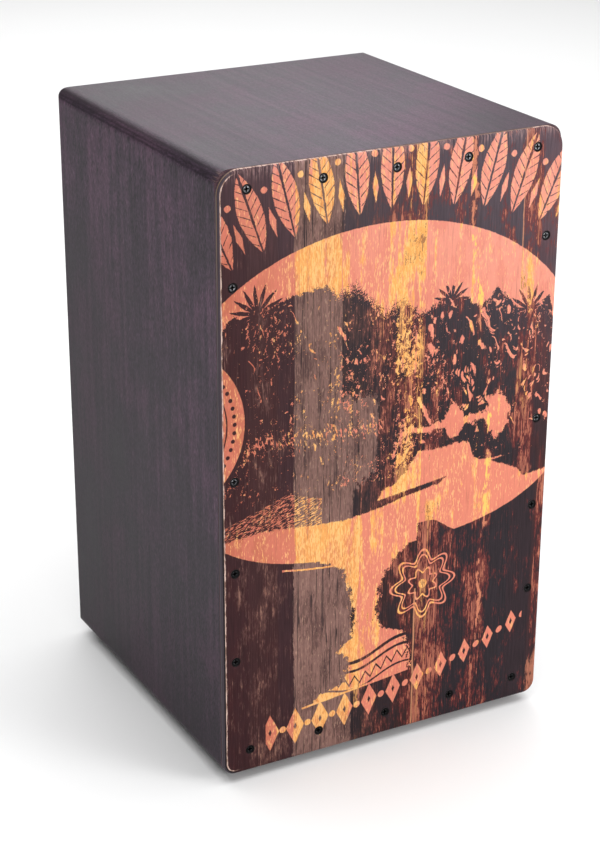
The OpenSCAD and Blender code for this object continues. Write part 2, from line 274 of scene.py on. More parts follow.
def painted_light(g, tone):
    """Part of the photograph's light and no property of the finish: darker towards the floor
    and the back, and on the seat towards its left, its back and its front right corner."""
    tone = tone * (0.62 + g.rise(g.z, 0.0, 420.0) * 0.47 + g.rise(g.z, 380.0, 440.0) * 0.15)
    tone = tone * (1.12 - g.rise(g.y, -150.0, 150.0) * (0.52 - g.rise(g.z, 300.0, 480.0) * 0.36))
    corners = g.rise(g.x, 0.0, -140.0) * 0.30 + g.rise(g.x - g.y, 110.0, 270.0) * 0.42
    corners = corners + g.rise(g.y, -20.0, 150.0) * 0.20
    return tone * (1 - g.rise(g.z, 497.0, 508.0) * corners)


def stained_ply(name, across, along, inward, layer, plies=7, contrast=1.0):
    """Dark stained and lacquered, bare inside. across and along name the face grain's axes. inward tells
    the inner face. layer gives the depth through the sheet, 0 to 1, and how squarely a face lies to it."""
    g = Graph(name)
    axis = {"x": g.x, "y": g.y, "z": g.z}
    wide, grain = axis[across], axis[along]
    # Brushed-on stain: fine grain lines, wider streaks, cloudy patches, a fine mottle of open pores
    lines = g.noise(wide / 0.8, grain / 15, detail=3, roughness=0.7)
    hairs = g.noise(wide / 0.5, grain / 3.2, 5.3, detail=2)
    streaks = g.noise(wide / 6, grain / 170, 3.1, detail=3)
    clouds = g.noise(g.x / 60, g.y / 60, g.z / 75, detail=4, roughness=0.6)
    figure = (lines - 0.5) * 3.0 + (hairs - 0.5) * 3.4 + (streaks - 0.5) * 1.2
    tone = painted_light(g, 0.80 + (figure + (clouds - 0.5) * 2.2) * contrast)
    stain = g.mix(g.rise(clouds + (streaks - 0.5) * 0.7, 0.40, 0.62), srgb(63, 48, 62), srgb(70, 51, 65))
    stain = g.mix(g.rise(lines, 0.58, 0.74) * (0.6 * contrast), stain, srgb(100, 80, 94))
    # Also light rather than finish: what is turned to the right or the back is painted greyer and lighter
    turned = g.rise(g.nx + g.ny, 0.4, 0.9)
    stain = g.mix(turned * 0.7, stain, srgb(76, 65, 72))
    tone = tone * (1 + turned * 0.30)
    # Plies show through the stain where the faces are cut or rounded
    depth, flat = layer(g)
    plies_seen = ply_layers(g, depth, plies)
    cut = g.rise(flat, 0.96, 0.80)
    tone = tone * (1 - cut * g.rise(plies_seen, 0.30, 0.80) * 0.30 - cut * 0.12)
    stain = g.scale_colour(stain, g.larger(tone, 0.25))
    # The stain is sanded through in thin streaks where the rounded corner meets the board
    near_front = g.rise(g.y - SHELL_FRONT, 9.0, 0.5)
    fibres = g.noise(g.x / 1.1, g.y / 16, g.z / 1.1, detail=3, roughness=0.6)
    rubbed = g.larger(g.rise(fibres, 0.50, 0.66), g.rise(plies_seen, 0.60, 0.85) * 0.8)
    rubbed = g.smaller(cut, near_front) * rubbed
    stain = g.mix(rubbed * 0.5, stain, srgb(150, 118, 114))
    rim = g.rise(g.y - SHELL_FRONT + (lines - 0.5) * 3, 1.2, 0.5)
    stain = g.mix(rim * 0.5, stain, g.mix(fibres, srgb(44, 30, 36), srgb(128, 98, 104)))
    face, _ = raw_ply(g, wide, grain, plies_seen)
    inside = g.rise(inward(g), 0.6, 0.8) * g.rise(g.y, BACK_FACE - 0.5, BACK_FACE - 1.5)
    colour = g.mix(inside, stain, face)
    rough = 0.46 + (lines - 0.5) * 0.3 + (clouds - 0.5) * 0.2 + inside * 0.25
    return g.finish(colour, rough, lines * 0.6 + hairs * 0.4, 0.09, Specular_IOR_Level=0.12)


def shell_material(node):
    """The finish of one shell panel, with its inner face and its thickness axis."""
    low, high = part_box(node)
    side = {"left_side_panel": -1, "right_side_panel": 1}.get(node)
    if side:
        inner = INNER_X * side
        return stained_ply(node, "y", "z", lambda g: g.nx * -side,
                           lambda g: ((g.x - inner) * side / PANEL, abs(g.nx)))
    if node == "back_panel":
        thickness = (high.y - low.y) / MM
        return stained_ply(node, "x", "z", lambda g: -g.ny,
                           lambda g: ((g.y - low.y / MM) / thickness, abs(g.ny)), plies=3, contrast=0.75)
    up = 1 if node == "seat_panel" else -1
    inner = (low.z if up > 0 else high.z) / MM
    return stained_ply(node, "x", "y", lambda g: g.nz * -up,
                       lambda g: ((g.z - inner) * up / PANEL, abs(g.nz)), contrast=0.5)


def softwood(name, along):
    """Sawn softwood batten with growth rings along one axis."""
    g = Graph(name)
    axis = {"x": g.x, "y": g.y, "z": g.z}
    stretched = [value / (240 if key == along else 5) for key, value in axis.items()]
    rings = g.noise(*stretched, detail=3)
    bands = g.math("PINGPONG", rings * 9, 1.0)
    saw = g.noise(g.x / 1.3, g.y / 1.3, g.z / 1.3, detail=2)
    colour = g.mix(g.rise(bands, 0.45, 0.95), srgb(222, 190, 142), srgb(188, 141, 92))
    colour = g.scale_colour(colour, 0.9 + saw * 0.2)
    return g.finish(colour, 0.75 + (saw - 0.5) * 0.2, saw * 0.6 + bands * 0.4, 0.12)


def turned_hardwood(name):
    g = Graph(name)
    grain = g.noise(g.x / 60, g.y / 1.6, g.z / 1.6, detail=4)
    pores = g.noise(g.x / 9, g.y / 0.5, g.z / 0.5, detail=2)
    colour = g.mix(g.rise(grain, 0.35, 0.7), srgb(190, 142, 92), srgb(150, 100, 60))
    colour = g.mix(g.rise(pores, 0.58, 0.75) * 0.5, colour, srgb(96, 60, 36))
    return g.finish(colour, 0.42 + (grain - 0.5) * 0.2, pores, 0.05)


# ---------------------------------------------------------------- printed front
# All lists are given. They run along the board in mm, across it from the middle or up from its lower
# edge. The planks: their ink, and above and below the oval's foot their wear and their share of gold
INK = [(-150, (66, 30, 33)), (-127, (72, 37, 38)), (-101, (68, 37, 41)), (-46, (63, 44, 43)),
       (-12, (60, 36, 36)), (26, (50, 40, 44)), (64, (48, 39, 43)), (94, (50, 42, 46)),
       (116, (74, 36, 38)), (139, (82, 41, 40))]
WEAR_HIGH = [(-150, 0.02), (-127, 0.16), (-100, 0.06), (-44, 0.28), (-28, 0.50), (4, 0.72), (27, 0.38),
             (64, 0.04), (94, 0.26), (116, 0.66), (133, 0.12)]
WEAR_LOW = [(-150, 0.04), (-138, 0.38), (-100, 0.30), (-44, 0.46), (-12, 0.34), (26, 0.84), (46, 0.44),
            (64, 0.24), (82, 0.46), (97, 0.16), (120, -0.15), (141, 0.70)]
GOLD_HIGH = [(-150, 0.10), (-110, 0.22), (-87, 0.84), (-47, 0.40), (-12, 0.46), (2, 0.70), (27, 0.16),
             (66, 0.34), (82, 0.06), (116, 0.44), (134, 0.20)]
GOLD_LOW = [(-150, 0.08), (-108, 0.36), (-87, 0.84), (-28, 0.40), (-8, 0.30), (24, 0.52), (44, 0.16),
            (84, 0.40), (95, 0.06), (141, 0.20)]
# The outlines: crowns of the trees, foot of the land, both sides of the paint run, the water, the long peel
TREE_TOP = [(-150, 376), (-138, 390), (-122, 382), (-108, 392), (-92, 397), (-62, 401), (-48, 392),
            (-34, 396), (-20, 384), (-8, 370), (8, 379), (24, 365), (44, 374), (66, 371), (80, 362),
            (94, 377), (106, 364), (122, 348), (134, 354), (144, 362), (150, 340)]
LAND_FOOT = [(-150, 207), (-112, 210), (-70, 206), (-40, 204), (-10, 208), (20, 214), (46, 218),
             (54, 224), (62, 231), (76, 233), (92, 230), (100, 225), (112, 221), (121, 216), (127, 208),
             (140, 210), (150, 211)]
RUN_LEFT = [(40, -74), (52, -62), (58, -40), (80, -37), (88, -48), (96, -34), (112, -31), (140, -35),
            (162, -43), (172, -62), (180, -90), (200, -100)]
RUN_RIGHT = [(44, 22), (76, 21), (92, 16), (100, -6), (112, -11), (140, -8), (156, 2), (170, 16),
             (186, 26), (200, 30)]
POOL_TOP = [(-16, 205), (-8, 222), (4, 226), (16, 236), (25, 250), (46, 248), (58, 251), (73, 249),
            (77, 236), (84, 230)]
PEEL = [(0, 84), (100, 87), (130, 86), (170, 90), (230, 91), (300, 90), (350, 78), (395, 76), (430, 68),
        (500, 67)]
# The width that the lists for the planks cover
PLANKS = (-150, 150)


class Board(Graph):
    """The striking board's tree, with the coordinates and noises that the parts of its print share."""

    def __init__(self, name):
        super().__init__(name)
        # u runs across the board from its middle, v up from its lower edge, depth in from its front face
        self.u, self.v, self.depth = self.x, self.z - FLOOR_TO_BODY, self.y - FRONT
        u, v = self.u, self.v
        self.fleck = self.noise(u / 0.75, v / 1.1, 1.7, detail=2)
        self.ragged = self.noise(u / 4, v / 6, 4.2, detail=5, roughness=0.7)
        self.wander = self.noise(u / 26, v / 40, 8.4, detail=2)
        self.fibre = self.noise(u / 0.9, v / 30, 2.9, detail=4, roughness=0.7)
        self.flake = self.noise(u / 1.7, v / 8, 5.2, detail=4, roughness=0.7)
        self.broad = self.noise(u / 5.5, v / 80, 6.1, detail=3)
        self.blotch = self.noise(u / 15, v / 36, 9.2, detail=4, roughness=0.62)
        self.grit = self.noise(u / 0.7, v / 4.5, 6.6, detail=2)
        self.torn = (self.ragged - 0.5) * 26 + (self.fleck - 0.5) * 9
        # The planks' joints waver, and below the oval's foot each plank has amounts of its own
        self.w = u + (self.wander - 0.5) * 3.5 + (self.fibre - 0.5) * 1.2
        self.low = self.rise(v + (self.wander - 0.5) * 30, 212.0, 202.0)
        self.gold = self.by_plank(GOLD_HIGH, GOLD_LOW)
        rub = self.flake * 0.42 + self.fibre * 0.38 + self.grit * 0.20
        rub = rub + self.by_plank(WEAR_HIGH, WEAR_LOW) * 0.22
        self.rub = rub + (0.5 - self.blotch) * 0.55 + (self.broad - 0.5) * 0.22

    def by_plank(self, high_list, low_list):
        high_value = self.amounts(self.w, high_list, *PLANKS)
        low_value = self.amounts(self.w, low_list, *PLANKS)
        return high_value + (low_value - high_value) * self.low


# Each shape of the print is a distance in mm, above zero inside the shape
def oval_field(g):
    """The oval, the oval with a torn bite in its lower edge, and a thin line under its left."""
    u, v, ragged = g.u, g.v, g.ragged
    middle, half_width, power = 304, 188, 2.7
    squarish = g.math("POWER", abs(u + 4) / half_width, power)
    squarish = squarish + g.math("POWER", abs(v - middle) / 133, power)
    upper = 1 - g.length((u + 12) / half_width, (v - middle) / 139)
    lower = 1 - g.math("POWER", squarish, 1 / power)
    oval = (lower + (upper - lower) * g.rise(v, middle - 0.1, middle + 0.1)) * 150
    bite = 187 - g.rise(u, 38.0, 66.0) * 14 - v + (ragged - 0.5) * 3
    field = g.smaller(oval + (ragged - 0.5) * 1.6, -g.smaller(bite, u - 26 + g.torn * 0.25))
    line = g.smaller(0.8 - abs(oval + 6.5 + (ragged - 0.5) * 2), g.between(u, -97, -46), 250 - v)
    return oval, field, line


def wooded_hills(g):
    """Land across the oval: ragged crowns, spiky bushes, a stippled middle, water and a far bank."""
    u, v, ragged, fleck = g.u, g.v, g.ragged, g.fleck
    loose = g.rise(abs(u + 12), 62.0, 12.0)
    crowns = g.profile(u, TREE_TOP, 330, 410) - v + (ragged - 0.5) * 16 + (fleck - 0.5) * (5 + loose * 30)
    for cx, cy, size, spikes in ((-118, 388, 24, 15), (52, 372, 17, 13), (126, 352, 22, 15)):
        angle = g.math("ARCTAN2", v - cy, u - cx)
        spike = g.math("PINGPONG", angle * (spikes / math.pi) + (ragged - 0.5) * 0.8, 1.0)
        crowns = g.larger(crowns, size * (1 - spike * 0.75) - g.length(u - cx, v - cy))
    shore = v - g.profile(u, LAND_FOOT, 195, 240) + (ragged - 0.5) * 5 + (fleck - 0.5) * 3
    pool = g.profile(u, POOL_TOP, 200, 260) - v + (ragged - 0.5) * 9
    pool = g.smaller(pool, v - 216 - u * 0.13) + (fleck - 0.5) * 2.5
    far_bank = 3.4 - abs(v - 268 - (g.wander - 0.5) * 12) - abs(u - 60) * 0.03
    left_mound = 1 - g.length((u - 58) / 9, (v - 270) / 14)
    right_mound = 1 - g.length((u - 99) / 11, (v - 268) / 19)
    far_bank = g.larger(far_bank, g.larger(left_mound, right_mound) * 10)
    far_bank = g.smaller(far_bank, g.between(u, 8, 112)) + (ragged - 0.5) * 12 + (fleck - 0.5) * 2
    return g.smaller(crowns, shore, -g.larger(pool, far_bank, *openings(g, loose)))


def openings(g, loose):
    """Where paint shows through the land: leaves, a meadow, hatching and flecks of light."""
    u, v, ragged, fleck, wander = g.u, g.v, g.ragged, g.fleck, g.wander
    lean = (wander - 0.5) * 3 + 0.3
    spot, chance = g.cells((u + v * 0.5 + (ragged - 0.5) * 9) / 7.5,
                           (v - u * lean + (ragged - 0.5) * 6) / 17)
    leaves = (chance - 0.46) * 0.75 - spot + g.rise(u, 24.0, 90.0) * 0.07 - g.rise(u, 24.0, 0.0) * 0.20
    leaves = g.smaller(leaves * 8 + (fleck - 0.5) * 1.2, v - 256, 392 - v)
    grass = g.noise((u + v * 0.2) / 1.6, v / 3.6, 3.6, detail=3, roughness=0.6)
    meadow = (grass - 0.53) * 12 - abs(v - 281 - (wander - 0.5) * 14) * 0.16
    meadow = g.smaller(meadow, -6 - u)
    hatch = g.noise((u + v * 0.35) / 4.5, (v - u * 0.35) / 1.3, 7.1, detail=4, roughness=0.65)
    hatch = g.smaller((hatch - 0.53) * 9, 237 - abs(u + 92) * 0.32 - v, -62 - u)
    light = g.noise((u - v * 0.3) / 2.6, (v + u * 0.3) / 4.5, 5.5, detail=4, roughness=0.7)
    clearing = g.noise(u / 30, v / 38, 1.3, detail=2)
    light = light - 0.655 + (clearing - 0.5) * 0.40 + g.rise(abs(u - 13), 15.0, 7.0) * 0.10 + loose * 0.02
    light = g.smaller(light * 20 + (fleck - 0.5) * 5, v - 232)
    return leaves, meadow, hatch, light


def leaf_fan(g):
    """Fan of veined leaves, darts and beads, on arcs about a centre low on the board."""
    spacing, foot, leaf_length = 0.0830, 333, 66
    dart_radius, bead_radius = 352, 378
    du, dv = g.u + 4, g.v - 120
    radius = g.length(du, dv)
    turn = g.math("ARCTAN2", du, dv) * (1 / spacing)
    off = abs(turn - g.math("ROUND", turn)) * spacing * radius
    climb = (radius - foot) / leaf_length
    swell = climb * (1 - climb) * 4
    vein = abs(g.math("PINGPONG", radius - off * 0.9, 3.6)) - 0.42
    blade = g.smaller(swell * 10.2 - off, off - 0.75 - climb * 0.5, g.larger(vein, 1.6 - off),
                      radius - (foot + 1))
    between_leaves = off - radius * (spacing / 2)
    dart = 2.7 - abs(between_leaves) - abs(radius - dart_radius) * 0.22
    bead = 2.6 - g.length(between_leaves, radius - bead_radius)
    return g.larger(blade, dart, bead) + (g.ragged - 0.5) * 2.4 + (g.fleck - 0.5) * 0.8


def paint_run(g):
    """Paint run below the oval, torn at both sides, with wavy stripes and a zigzag; a line at its foot."""
    u, v, ragged = g.u, g.v, g.ragged
    run = g.smaller(u - g.profile(v, RUN_LEFT, -110, -20), g.profile(v, RUN_RIGHT, -20, 40) - u) + g.torn
    wave = v - 66 - u * 0.10 - g.math("SINE", u * 0.075 + 0.6) * 5
    stripes = g.smaller(abs(wave - 16) - 1.5, abs(wave - 8) - 1.2, abs(wave + 9) - 0.9,
                        abs(wave + g.math("PINGPONG", u, 5.0) * 1.6 - 3) - 1.1)
    run = g.smaller(run, g.larger(stripes + (ragged - 0.5) * 1.6, v - 96), 200 - v, v - 52 - u * 0.11)
    foot_line = g.smaller(0.9 - abs(v - 52.5 - u * 0.11), g.between(u, -79, 21)) + (ragged - 0.5) * 1.2
    return run, foot_line


def petal_rosette(g):
    """Eight-petalled rosette in double line work, and the dark patch around it."""
    across, up = g.u - 33, g.v - 131
    reach = g.length(across, up)
    petals = g.math("COSINE", g.math("ARCTAN2", across, up) * 8)
    rosette = g.larger(1.0 - abs(reach - 26 - petals * 4.6), 0.8 - abs(reach - 22 - petals * 4.0),
                       0.9 - abs(reach - 12 + petals * 2.2), 4.0 - reach) + (g.ragged - 0.5) * 1.2
    return rosette, 33 - reach + petals * 3 + g.torn


def lozenge_frieze(g):
    """Rising frieze of hollow lozenges and dots near the lower edge."""
    u, v = g.u, g.v
    half_pitch = 11.5
    level = v - 29 - (u + 104) * (u + 104) * 0.00088
    size = 16.5 - g.rise(u, -100.0, 130.0) * 6
    place = g.math("PINGPONG", u + 108, half_pitch)
    lozenge = (size - abs(level) - place * 2.0) * 0.45
    hollow = abs(level) * 0.5 + place * 1.2 - 1.7
    dot = 2.9 - g.length(half_pitch - place, level)
    row = g.larger(g.smaller(lozenge, hollow), dot)
    return g.smaller(row, g.between(u, -112, 133)) + (g.ragged - 0.5) * 1.4


def badge_edge(g):
    """The edge of a large round badge at the left, with a ring of dots and a thin ring; its dark ground."""
    across, up = g.u + 197, g.v - 304
    away = g.length(across, up)
    around = g.math("PINGPONG", g.math("ARCTAN2", up, across) * 60, 3.4)
    dots = g.length(away - 59.5, around) - 1.7
    badge = g.smaller(68 - away, dots, abs(away - 53) - 0.6) + (g.ragged - 0.5) * 0.8
    return badge, 71.5 - away


def printed(g):
    """Where paint covers the ink, from 0 to 1."""
    oval, field, under_line = oval_field(g)
    run, foot_line = paint_run(g)
    rosette, around_rosette = petal_rosette(g)
    badge, badge_ground = badge_edge(g)
    ink = g.larger(-field, g.smaller(wooded_hills(g), oval + 2))
    ink = g.smaller(ink, -under_line, -run, -foot_line, -rosette, -lozenge_frieze(g), -leaf_fan(g))
    ink = g.larger(ink, g.smaller(around_rosette, -rosette, 185 - g.v, g.u - 1))
    ink = g.smaller(g.larger(ink, badge_ground), -badge)
    return 1 - g.rise(ink, -0.3, 0.3)


def inked_planks(g):
    """Every plank's own dark ink, with painted sheen that greys and lightens it towards the top right, and
    with shallow and deep rubbed streaks.
    """
    u, v, fibre = g.u, g.v, g.fibre
    colour = g.steps(g.w, [(at, srgb(*c)) for at, c in INK], *PLANKS)
    dusk = g.larger(g.rise(g.blotch, 0.44, 0.58) * (0.15 + g.rise(u, -100.0, -40.0) * 0.50),
                    g.rise(v, 250.0, 205.0) * g.rise(u, 50.0, 66.0) * g.rise(u, 142.0, 138.0) * 0.85)
    colour = g.mix(dusk, colour, srgb(45, 36, 43))
    # Painted sheen: the ink greys and lightens towards the top right
    painted_sheen = g.rise(u * 0.55 + v, 300.0, 560.0)
    colour = g.mix(painted_sheen * 0.55, colour, srgb(104, 88, 98))
    colour = g.scale_colour(colour, 0.40 + painted_sheen * 0.2 + g.rise(fibre, 0.25, 0.75) * 0.5)
    shallow = g.mix(g.rise(u, -50.0, 30.0), srgb(88, 58, 54), srgb(104, 40, 38))
    tan = g.mix(g.rise(u, -90.0, 10.0), srgb(142, 104, 90), srgb(192, 116, 90))
    deep = g.mix(g.rise(g.gold + (g.broad - 0.5) * 2.0, 0.60, 0.95), tan, srgb(228, 168, 96))
    deep = g.mix(g.rise(fibre, 0.42, 0.60), srgb(120, 72, 62), deep)
    colour = g.mix(g.rise(g.rub, 0.575, 0.66) * 0.8, colour, shallow)
    return g.mix(g.rise(g.rub, 0.665, 0.72) * 0.85, colour, deep)


def weathered_plank(g):
    """One plank of grey-brown bare wood with long cracks: where it lies, from 0 to 1, and its colour."""
    v, w, flake, grit, blotch = g.v, g.w, g.flake, g.grit, g.blotch
    step = v + (g.ragged - 0.5) * 34
    right = -45 + g.rise(step, 310.0, 302.0) * 32 - g.rise(step, 240.0, 230.0) * 21
    frayed = (flake - 0.5) * 7 + (grit - 0.5) * 3
    bare = g.rise(w + frayed * g.rise(v, 300.0, 120.0), -87.3, -86.7)
    bare = bare * g.rise(right - w + frayed, -0.4, 0.4)
    crack = abs(g.noise(g.u / 5, v / 300, 7.7, detail=3, roughness=0.55) - 0.5)
    grey = g.scale_colour(srgb(121, 90, 82), -0.20 + g.fibre * 1.55 + grit * 0.75)
    grey = g.mix(g.rise(blotch * 0.5 + flake * 0.5, 0.48, 0.58) * 0.65, grey, srgb(70, 46, 45))
    grey = g.mix(g.rise(flake * 0.4 + grit * 0.6, 0.57, 0.66) * 0.6, grey, srgb(172, 138, 118))
    grey = g.mix(g.rise(crack - (blotch - 0.5) * 0.03, 0.018, 0.006) * 0.9, grey, srgb(34, 24, 27))
    return bare, g.scale_colour(grey, 1 + g.rise(v, 240.0, 150.0) * 0.15)


def paint_colour(g, bare):
    """Salmon to yellow paint, streaked along the grain and chipped to dark wood where it is rubbed."""
    u, v, fibre, flake, grit, broad, blotch = g.u, g.v, g.fibre, g.flake, g.grit, g.broad, g.blotch
    drift = g.gold + (broad - 0.5) * 2.2 + (flake - 0.5) * 0.9 + (0.5 - blotch) * 1.2
    # Painted shade and sheen: the salmon is darker at the left and lighter towards the top right
    salmon = g.mix(g.rise(u, -150.0, -20.0), srgb(182, 100, 77), srgb(212, 125, 102))
    salmon = g.mix(g.rise(u * 0.7 + v, 300.0, 520.0), salmon, srgb(222, 144, 124))
    salmon = g.mix(g.rise(blotch + (flake - 0.5) * 0.4, 0.46, 0.62) * 0.45, salmon, srgb(206, 116, 98))
    yellow = g.mix(g.rise(flake * 0.4 + blotch * 0.6, 0.60, 0.40), srgb(208, 130, 78), srgb(226, 156, 84))
    yellow = g.mix(g.rise(u, -50.0, 10.0) * g.rise(flake, 0.36, 0.56), yellow, srgb(232, 163, 86))
    colour = g.mix(g.rise(drift, 0.42, 0.72), salmon, yellow)
    threads = g.rise(grit * 0.5 + flake * 0.2 + broad * 0.3 + g.gold * 0.10, 0.56, 0.62)
    colour = g.mix(threads * 0.6, colour, srgb(244, 196, 128))
    colour = g.scale_colour(colour, 0.80 + fibre * 0.30 + grit * 0.12)
    lines = g.rise(fibre + (broad - 0.5) * 0.3, 0.40, 0.33) * (0.30 + bare * 0.4)
    colour = g.mix(lines, colour, srgb(140, 76, 58))
    chips = g.rise(g.rub + (g.fleck - 0.5) * 0.14, 0.75, 0.79)
    return g.mix(chips * 0.75, colour, srgb(104, 48, 44))


def damaged(g, colour, paint):
    """A long peel down the right, two pale joints, and worn-through patches at the right edge."""
    u, v, w, flake = g.u, g.v, g.w, g.flake
    comes = g.noise(v / 32, 4.5, detail=3)
    off = abs(u - g.profile(v, PEEL, 60, 100) - (comes - 0.5) * 14)
    peel = g.smaller((comes - 0.5) * 22 + 1.0 - off, 2.2 - off) + (flake - 0.5) * 14
    peel = peel - g.rise(v, 110.0, 30.0) * 4
    colour = g.mix(g.rise(peel, -3.0, 0.0) * (1 - paint) * 0.6, colour, srgb(92, 38, 38))
    colour = g.mix(g.rise(peel, 0.3, 0.9), colour, g.mix(paint, srgb(190, 118, 90), srgb(240, 188, 98)))
    joint = g.larger(g.smaller(0.8 - abs(w - 25.5), 128 - v), g.smaller(0.5 - abs(w - 116), v - 388))
    colour = g.mix(g.rise(joint + (g.ragged - 0.5), -0.2, 0.3) * 0.7, colour, srgb(204, 140, 104))
    worn = u - 146 + g.rise(v, 42.0, 26.0) * 6 - g.rise(v, 26.0, 60.0) * 4
    worn = worn + (flake - 0.5) * 22 + (g.broad - 0.5) * 16
    wood = g.mix(g.fibre, srgb(96, 46, 42), srgb(214, 140, 108))
    return g.mix(g.rise(worn, 0.0, 4.0) * 0.75, colour, wood)


def rim_distance(g):
    """How far a point of the face lies in from the board's outline."""
    u, v = g.u, g.v
    over, under = g.larger(v - (BOARD_H - TOP_R), 0), g.larger(BOTTOM_R - v, 0)
    return g.smaller(HALF_W - abs(u), v, BOARD_H - v,
                     TOP_R - g.length(g.larger(abs(u) - (HALF_W - TOP_R), 0), over),
                     BOTTOM_R - g.length(g.larger(abs(u) - (HALF_W - BOTTOM_R), 0), under))


def striking_board(name):
    """Distressed two-colour print over weathered planks, countersinks painted dark as shade, a sanded edge
    that also carries a painted highlight, bare back.
    """
    g = Board(name)
    u, v, depth, ragged, fibre, flake = g.u, g.v, g.depth, g.ragged, g.fibre, g.flake
    paint = printed(g)
    bare, grey = weathered_plank(g)
    colour = g.mix(paint, g.mix(bare, inked_planks(g), grey), paint_colour(g, bare))
    colour = damaged(g, colour, paint)
    rim = rim_distance(g)
    # Painted shade: the countersinks' walls are near black
    countersink_shade = g.rise(depth, 0.08, 0.25) * g.rise(rim, 2.4, 2.7)
    colour = g.mix(countersink_shade, colour, srgb(20, 15, 16))
    # The rounded edge is sanded from a certain depth on; its pale pink is sanded wood and also a painted
    # highlight. At the left a pale line is drawn instead, in from the outline to where the photograph shows
    # it, with dark stain outside it and, low down, a painted seam shadow
    left_edge = g.rise(u, -134.0, -144.0)
    line = 2.0 + g.rise(v, 420.0, 60.0) * 0.7
    line_width = 0.9 + (ragged - 0.5) * 1.2 + (flake - 0.5) * 1.4
    drawn = g.rise(g.smaller(rim - line, line + line_width - rim), -0.2, 0.2)
    worn_round = g.rise(depth + (ragged - 0.5) * 1.6 + (flake - 0.5) * 1.6, 0.85, 1.35)
    sanded = (worn_round + (drawn - worn_round) * left_edge) * (1 - countersink_shade)
    outside = g.rise(rim - line, 0.1, -0.2) * left_edge * (1 - countersink_shade)
    face, ply_edge = raw_ply(g, u, v, ply_layers(g, depth / BOARD_T, 3))
    # The edge's pale pink is sanded wood and also a painted highlight
    sanded_edge_and_highlight = g.mix(g.rise(flake, 0.40, 0.58), srgb(112, 82, 84), srgb(210, 182, 176))
    sanded_edge_and_highlight = g.mix(g.smaller(g.between(u, -14, 122), v - 480, 0.8), sanded_edge_and_highlight, srgb(66, 46, 56))
    # Painted sheen as well as scratches: pale pink streaks along the top edge
    top_sheen_and_scratches = g.rise(v, BOARD_H - 12, BOARD_H - 1) * g.rise(fibre * 0.6 + flake * 0.4, 0.46, 0.62)
    colour = g.mix(top_sheen_and_scratches * 0.35, colour, srgb(216, 176, 170))
    colour = g.mix(sanded, colour, g.mix(0.2, sanded_edge_and_highlight, ply_edge))
    stained = g.scale_colour(srgb(72, 63, 70), 0.70 + fibre * 0.6)
    stained = g.mix(g.rise(abs(depth - 1.5), 0.5, 0.2) * g.rise(v, 330.0, 480.0) * 0.5, stained, ply_edge)
    # Painted seam shadow: low down, the outermost edge of the board is near black
    stained = g.mix(g.rise(v, 330.0, 200.0) * g.rise(line - rim, 1.6, 1.2) * 0.85, stained, srgb(12, 9, 10))
    colour = g.mix(g.rise(depth, 2.2, 2.7) * (1 - countersink_shade) * 0.7, colour, srgb(60, 42, 38))
    colour = g.mix(outside, colour, stained)
    back = g.rise(g.ny, 0.7, 0.9)
    colour = g.mix(back, colour, face)
    rough = 0.40 + (fibre - 0.5) * 0.16 + g.larger(sanded, back) * 0.25
    return g.finish(colour, rough, fibre * 0.6 + flake * 0.3, 0.05, Specular_IOR_Level=0.12)


# ---------------------------------------------------------------- metal, rubber, plastic
def metal(name, colour, roughness):
    g = Graph(name)
    grain = g.noise(g.x / 0.6, g.y / 0.6, g.z / 0.6, detail=3)
    cloud = g.noise(g.x / 4, g.y / 4, g.z / 4, detail=2)
    tint = g.scale_colour(colour, 0.8 + cloud * 0.4)
    return g.finish(tint, roughness + (grain - 0.5) * 0.25, grain, 0.015, Metallic=1.0)


def screw_metal(name, node, axis, sign):
    """Black oxide, worn on the flat of the head and black in the recess below it."""
    g = Graph(name)
    low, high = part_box(node)
    face = (high if sign > 0 else low)["xyz".index(axis)] / MM
    below = (face - {"x": g.x, "y": g.y, "z": g.z}[axis]) * sign
    grain = g.noise(g.x / 0.6, g.y / 0.6, g.z / 0.6, detail=3)
    wear = g.noise(g.x / 2.2, g.y / 2.2, g.z / 2.2, detail=2)
    tint = g.mix(g.rise(wear, 0.40, 0.62), srgb(80, 80, 82), srgb(118, 118, 121))
    # Painted light: heads on the lower half are darker
    tint = g.scale_colour(tint, 0.16 + g.rise(g.z, 190.0, 300.0) * 0.84)
    span_x, span_z = (high.x - low.x) / MM, (high.z - low.z) / MM
    radius = min(span_x, span_z) / 2
    if radius < 5:
        # One straight row, four even pitches long: the worn face ends inside a black rim. Across the row
        # there is only one head, and least_span keeps the fold away from it
        half_pitches, least_span = 8, 80
        fold_x = max(span_x - 2 * radius, least_span) / half_pitches
        fold_z = max(span_z - 2 * radius, least_span) / half_pitches
        off_x = g.math("PINGPONG", g.x - low.x / MM - radius, fold_x)
        off_z = g.math("PINGPONG", g.z - low.z / MM - radius, fold_z)
        tint = g.mix(g.rise(g.length(off_x, off_z), 2.2, 2.6), tint, srgb(12, 12, 13))
    tint = g.mix(g.rise(below, 0.04, 0.30), tint, srgb(10, 10, 11))
    return g.finish(tint, 0.34 + (grain - 0.5) * 0.25, grain, 0.015, Metallic=0.9)


def moulded(name, colour, roughness, depth):
    g = Graph(name)
    grain = g.noise(g.x / 0.5, g.y / 0.5, g.z / 0.5, detail=2)
    dust = g.noise(g.x / 8, g.y / 8, g.z / 8, detail=4)
    tint = g.scale_colour(colour, 0.85 + dust * 0.3)
    return g.finish(tint, roughness + (dust - 0.5) * 0.15, grain, depth)


